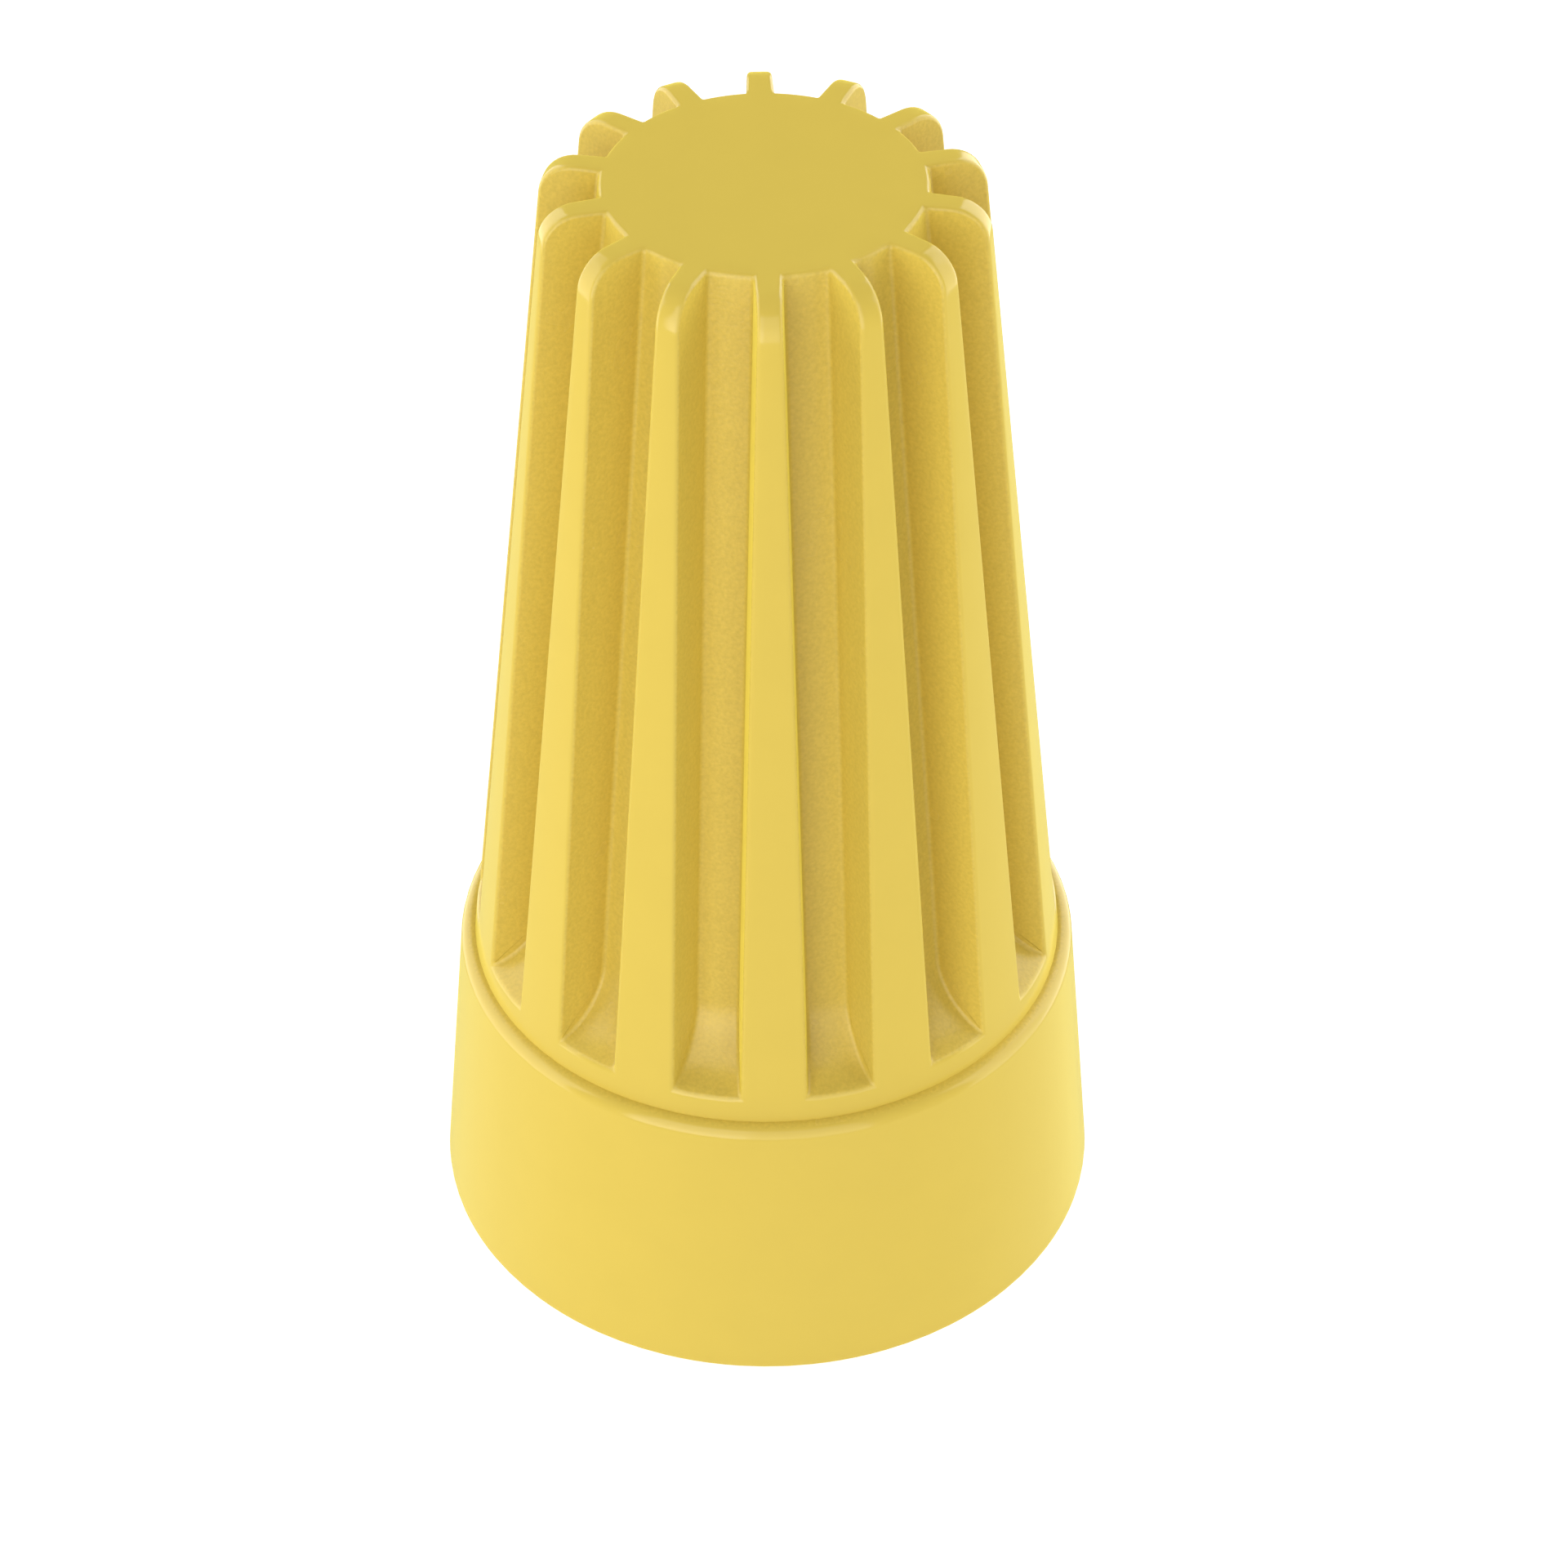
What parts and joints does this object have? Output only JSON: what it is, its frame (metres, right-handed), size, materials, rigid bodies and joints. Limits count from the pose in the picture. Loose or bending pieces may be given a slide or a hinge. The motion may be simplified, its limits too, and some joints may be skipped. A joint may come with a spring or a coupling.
{
  "type": "twist-on wire connector",
  "caption": "Twist-on wire connector: a conical ribbed plastic shell with a plain round skirt, open at the base, and a captive conical spring of square wire inside.",
  "frame": {"origin": "centre of the open rim, in the plane of the rim", "axes": "+Z along the axis from the open rim to the closed crown; one grip rib is centred on -Y"},
  "size_m": [0.0142, 0.0142, 0.0254],
  "materials": {
    "shell_plastic": "satin moulded yellow polypropylene, smooth outside, finely textured in the pockets",
    "spring_steel": "bright zinc-plated spring wire"
  },
  "bodies": {
    "root": {"insulating_shell": "shell_plastic", "grip_spring": "spring_steel"}
  },
  "joints": []
}
